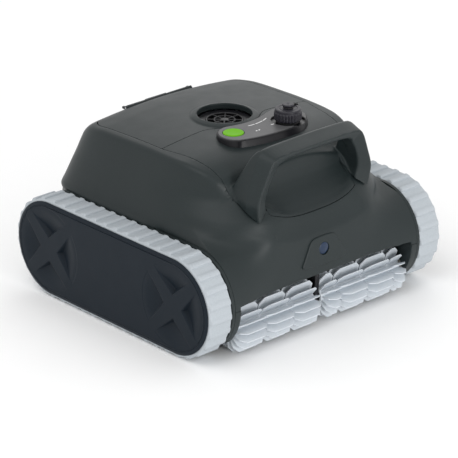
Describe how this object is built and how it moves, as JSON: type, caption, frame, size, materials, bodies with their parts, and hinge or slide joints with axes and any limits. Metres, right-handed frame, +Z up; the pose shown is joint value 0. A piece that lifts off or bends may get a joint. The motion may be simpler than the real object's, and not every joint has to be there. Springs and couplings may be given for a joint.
{
  "type": "pool cleaner",
  "caption": "Cordless tracked pool cleaning robot with a front roller brush, a hooped carry handle, a filter lid with a round outlet, and a panel with a button and a screw cap.",
  "frame": {"origin": "on the ground under the middle of the robot", "axes": "+X across the robot to its right-hand track as seen from the front, +Y to the rear, +Z up; the brush and handle are at -Y"},
  "size_m": [0.44, 0.4082, 0.2795],
  "materials": {
    "shell": "satin charcoal, finely textured",
    "cover_grey": "satin slate grey",
    "dark_plastic": "satin near black",
    "track_rubber": "matt light grey",
    "black_rubber": "matt black",
    "panel_grey": "smooth mid grey",
    "green_plastic": "smooth lime green",
    "lens": "polished dark blue",
    "nylon": "natural white",
    "steel": "drawn",
    "battery_wrap": "shrink wrap",
    "circuit_board": "solder mask",
    "filter_fabric": "fine mesh"
  },
  "bodies": {
    "body": {"base_tray": "shell", "main_housing": "shell", "front_shell": "shell", "carry_handle": "shell", "lid_hinge_pin": "steel", "charge_contacts": "steel", "pump_motor": "steel", "panel_base": "dark_plastic", "charge_socket": "dark_plastic", "sensor_bezel": "dark_plastic", "outlet_duct": "dark_plastic", "pump_mount": "dark_plastic", "electronics_case": "dark_plastic", "electronics_cover": "dark_plastic", "brush_centre_bracket": "dark_plastic", "panel_plate": "panel_grey", "cap_tether": "black_rubber", "intake_lip": "black_rubber", "sensor_lens": "lens", "battery_pack": "battery_wrap", "control_board": "circuit_board", "left_track": "track_rubber", "left_side_cover": "cover_grey", "left_side_frame": "shell", "left_drive_bearing": "steel", "left_rear_axle": "steel", "left_drive_motor": "steel", "right_track": "track_rubber", "right_side_cover": "cover_grey", "right_side_frame": "shell", "right_drive_bearing": "steel", "right_rear_axle": "steel", "right_drive_motor": "steel"},
    "lid": {"filter_lid": "shell", "outlet_grille": "dark_plastic"},
    "basket": {"filter_basket": "nylon", "filter_mesh": "filter_fabric"},
    "button": {"power_button": "green_plastic"},
    "cap_seal": {"cap_seal": "black_rubber"},
    "cap": {"charge_cap": "dark_plastic"},
    "impeller": {"impeller": "nylon"},
    "left_flap": {"left_inlet_flap": "black_rubber"},
    "right_flap": {"right_inlet_flap": "black_rubber"},
    "left_front_drive": {"left_front_wheel": "dark_plastic", "left_drive_shaft": "steel", "left_drive_gear": "nylon"},
    "left_rear_drive": {"left_rear_wheel": "dark_plastic"},
    "left_brush": {"left_brush_core": "dark_plastic", "left_brush_flaps": "track_rubber", "left_brush_pinion": "nylon"},
    "left_pinion": {"left_motor_pinion": "nylon"},
    "right_front_drive": {"right_front_wheel": "dark_plastic", "right_drive_shaft": "steel", "right_drive_gear": "nylon"},
    "right_rear_drive": {"right_rear_wheel": "dark_plastic"},
    "right_brush": {"right_brush_core": "dark_plastic", "right_brush_flaps": "track_rubber", "right_brush_pinion": "nylon"},
    "right_pinion": {"right_motor_pinion": "nylon"}
  },
  "joints": [
    {"name": "lid_hinge", "type": "hinge", "parent": "body", "child": "lid", "pos_m": [0, 0.147, 0.2386], "axis": [-1, 0, 0], "range_deg": [0, 95]},
    {"name": "basket_lift", "type": "slide", "parent": "body", "child": "basket", "axis": [0, 0, 1], "range_m": [0, 0.05]},
    {"name": "power_button_press", "type": "slide", "parent": "body", "child": "button", "axis": [0, 0, -1], "range_m": [0, 0.0012], "stiffness_N_per_m": 400},
    {"name": "cap_lift", "type": "slide", "parent": "body", "child": "cap_seal", "axis": [0, 0, 1], "range_m": [0, 0.008], "deforming": ["cap_tether"]},
    {"name": "cap_turn", "type": "hinge", "parent": "cap_seal", "child": "cap", "pos_m": [0.045, -0.072, 0.265], "axis": [0, 0, 1], "range_deg": [0, 540]},
    {"name": "impeller_spin", "type": "hinge", "parent": "body", "child": "impeller", "pos_m": [0, 0.008, 0.225], "axis": [0, 0, 1], "continuous": true},
    {"name": "left_flap_hinge", "type": "hinge", "parent": "body", "child": "left_flap", "pos_m": [-0.031, 0.0944, 0.029], "axis": [-1, 0, 0], "range_deg": [0, 65]},
    {"name": "right_flap_hinge", "type": "hinge", "parent": "body", "child": "right_flap", "pos_m": [0.031, 0.0944, 0.029], "axis": [-1, 0, 0], "range_deg": [0, 65]},
    {"name": "left_front_wheel_spin", "type": "hinge", "parent": "body", "child": "left_front_drive", "pos_m": [-0.195, -0.1295, 0.0747], "axis": [1, 0, 0], "continuous": true},
    {"name": "left_rear_wheel_spin", "type": "hinge", "parent": "body", "child": "left_rear_drive", "pos_m": [-0.195, 0.1295, 0.0747], "axis": [1, 0, 0], "continuous": true},
    {"name": "left_brush_spin", "type": "hinge", "parent": "body", "child": "left_brush", "pos_m": [-0.0825, -0.169, 0.0352], "axis": [1, 0, 0], "continuous": true},
    {"name": "left_pinion_spin", "type": "hinge", "parent": "body", "child": "left_pinion", "pos_m": [-0.1676, -0.07537, 0.06516], "axis": [1, 0, 0], "continuous": true},
    {"name": "right_front_wheel_spin", "type": "hinge", "parent": "body", "child": "right_front_drive", "pos_m": [0.195, -0.1295, 0.0747], "axis": [1, 0, 0], "continuous": true},
    {"name": "right_rear_wheel_spin", "type": "hinge", "parent": "body", "child": "right_rear_drive", "pos_m": [0.195, 0.1295, 0.0747], "axis": [1, 0, 0], "continuous": true},
    {"name": "right_brush_spin", "type": "hinge", "parent": "body", "child": "right_brush", "pos_m": [0.0825, -0.169, 0.0352], "axis": [1, 0, 0], "continuous": true},
    {"name": "right_pinion_spin", "type": "hinge", "parent": "body", "child": "right_pinion", "pos_m": [0.1676, -0.07537, 0.06516], "axis": [1, 0, 0], "continuous": true}
  ],
  "couplings": [
    {"joint": "basket_lift", "follows": "lid_hinge", "m_per_rad": 0.03},
    {"joint": "cap_lift", "follows": "cap_turn", "m_per_rad": 0.00084},
    {"joint": "left_rear_wheel_spin", "follows": "left_front_wheel_spin", "ratio": 1},
    {"joint": "left_brush_spin", "follows": "left_front_wheel_spin", "ratio": -3.9091},
    {"joint": "left_pinion_spin", "follows": "left_front_wheel_spin", "ratio": -4.3},
    {"joint": "right_rear_wheel_spin", "follows": "right_front_wheel_spin", "ratio": 1},
    {"joint": "right_brush_spin", "follows": "right_front_wheel_spin", "ratio": -3.9091},
    {"joint": "right_pinion_spin", "follows": "right_front_wheel_spin", "ratio": -4.3}
  ]
}
